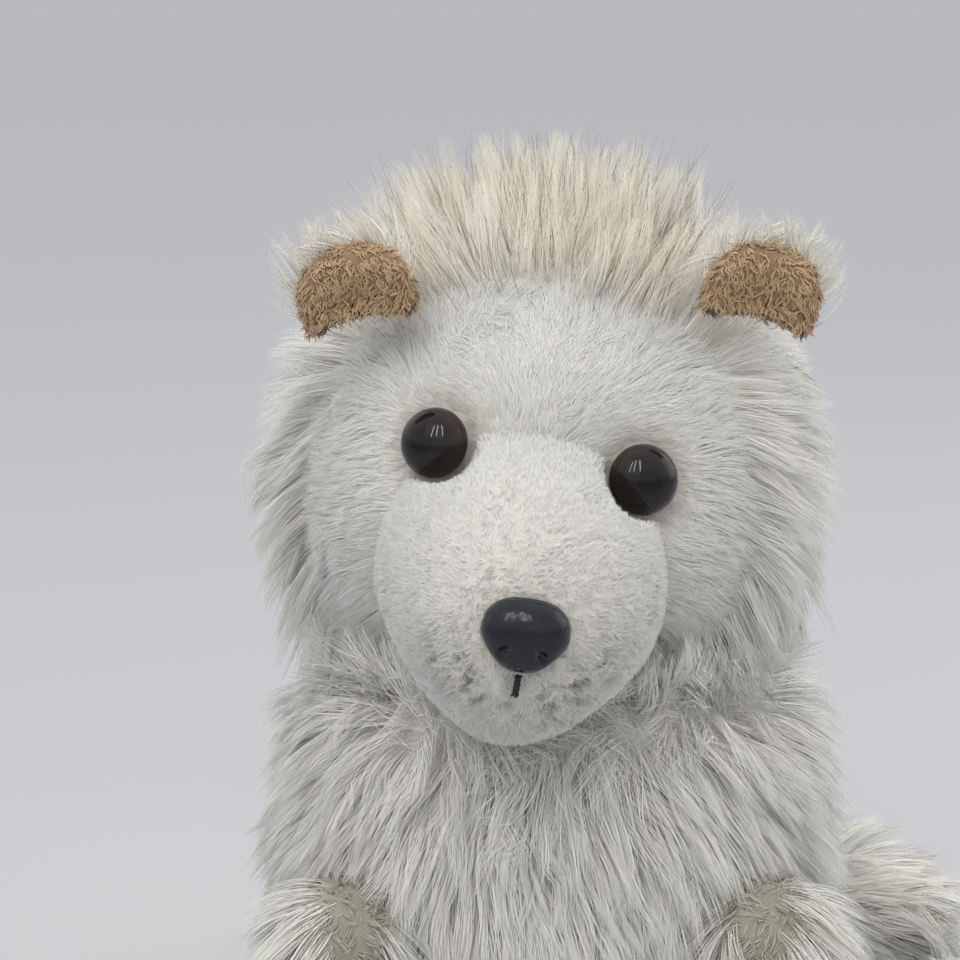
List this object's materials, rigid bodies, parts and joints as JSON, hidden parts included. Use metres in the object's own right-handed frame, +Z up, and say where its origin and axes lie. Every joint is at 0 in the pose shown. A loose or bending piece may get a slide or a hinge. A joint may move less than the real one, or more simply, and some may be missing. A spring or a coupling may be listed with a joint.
{
  "type": "plush dog",
  "caption": "Seated long-haired white plush dog with a short-pile muzzle, plastic eyes and nose, small tan-lined ears, soft legs and a bushy curled tail.",
  "frame": {"origin": "middle of the seat panel's underside, moved to the body's centre plane, where the toy rests on a table", "axes": "+Z up; the dog faces -Y; +X is the dog's left"},
  "size_m": [0.1888, 0.207, 0.24],
  "materials": {
    "long_pile": "long white plush pile, combed down, slightly grey and yellow with age",
    "face_pile": "silky short white plush pile",
    "muzzle_pile": "very short white plush pile with grey airbrushed shading beside the mouth",
    "leg_pile": "short curly off-white pile",
    "ear_pile": "tan curly terry pile",
    "stuffing": "white polyester fibre filling",
    "seat_cloth": "plain off-white woven base cloth",
    "bean_bag": "woven inner bag filled with plastic pellets",
    "thread": "off-white sewing thread",
    "black_thread": "black embroidery thread",
    "label": "plain white satin ribbon with nothing on it",
    "eye_plastic": "polished dark brown plastic over a black pupil",
    "nose_plastic": "polished blue-black moulded plastic",
    "washer_plastic": "natural white moulded plastic lock washers"
  },
  "bodies": {
    "torso": {"torso_cover": "long_pile", "torso_filling": "stuffing", "seat_panel": "seat_cloth", "seat_bean_bag": "bean_bag", "closing_stitches": "thread", "seam_label": "label"},
    "neck": {"neck_filling": "stuffing"},
    "head": {"head_back_cover": "long_pile", "face_panel": "face_pile", "muzzle_cover": "muzzle_pile", "head_filling": "stuffing", "muzzle_filling": "stuffing", "eye_left": "eye_plastic", "eye_right": "eye_plastic", "eye_washers": "washer_plastic", "nose": "nose_plastic", "nose_washer": "washer_plastic", "mouth_stitch": "black_thread"},
    "ear_left": {"ear_left_back": "long_pile", "ear_left_inner": "ear_pile"},
    "ear_right": {"ear_right_back": "long_pile", "ear_right_inner": "ear_pile"},
    "front_leg_left": {"front_leg_left_cover": "leg_pile", "front_leg_left_filling": "stuffing"},
    "front_leg_right": {"front_leg_right_cover": "leg_pile", "front_leg_right_filling": "stuffing"},
    "hind_leg_left": {"haunch_left_cover": "long_pile", "hind_foot_left_cover": "leg_pile", "hind_leg_left_filling": "stuffing"},
    "hind_leg_right": {"haunch_right_cover": "long_pile", "hind_foot_right_cover": "leg_pile", "hind_leg_right_filling": "stuffing"},
    "tail": {"tail_cover": "long_pile", "tail_filling": "stuffing"}
  },
  "joints": [
    {"name": "head_turn", "type": "hinge", "parent": "torso", "child": "neck", "pos_m": [0, 0.008, 0.182], "axis": [0, 0, 1], "range_deg": [-30, 30]},
    {"name": "head_nod", "type": "hinge", "parent": "neck", "child": "head", "pos_m": [0, 0.008, 0.182], "axis": [1, 0, 0], "range_deg": [-15, 10]},
    {"name": "ear_left_fold", "type": "hinge", "parent": "head", "child": "ear_left", "pos_m": [0.03821, -0.0277, 0.21924], "axis": [0.9703, 0, -0.2419], "range_deg": [-15, 40]},
    {"name": "ear_right_fold", "type": "hinge", "parent": "head", "child": "ear_right", "pos_m": [-0.03821, -0.0277, 0.21924], "axis": [0.9703, 0, 0.2419], "range_deg": [-15, 40]},
    {"name": "front_leg_left_swing", "type": "hinge", "parent": "torso", "child": "front_leg_left", "pos_m": [0.043, -0.042, 0.095], "axis": [-1, 0, 0], "range_deg": [0, 45]},
    {"name": "front_leg_right_swing", "type": "hinge", "parent": "torso", "child": "front_leg_right", "pos_m": [-0.043, -0.042, 0.095], "axis": [-1, 0, 0], "range_deg": [0, 45]},
    {"name": "hind_leg_left_splay", "type": "hinge", "parent": "torso", "child": "hind_leg_left", "pos_m": [0.047, 0.026, 0.033], "axis": [0, 0, 1], "range_deg": [0, 30]},
    {"name": "hind_leg_right_splay", "type": "hinge", "parent": "torso", "child": "hind_leg_right", "pos_m": [-0.047, 0.026, 0.033], "axis": [0, 0, -1], "range_deg": [0, 30]},
    {"name": "tail_wag", "type": "hinge", "parent": "torso", "child": "tail", "pos_m": [0.004, 0.082, 0.046], "axis": [0, 0, 1], "range_deg": [-4, 25]}
  ]
}
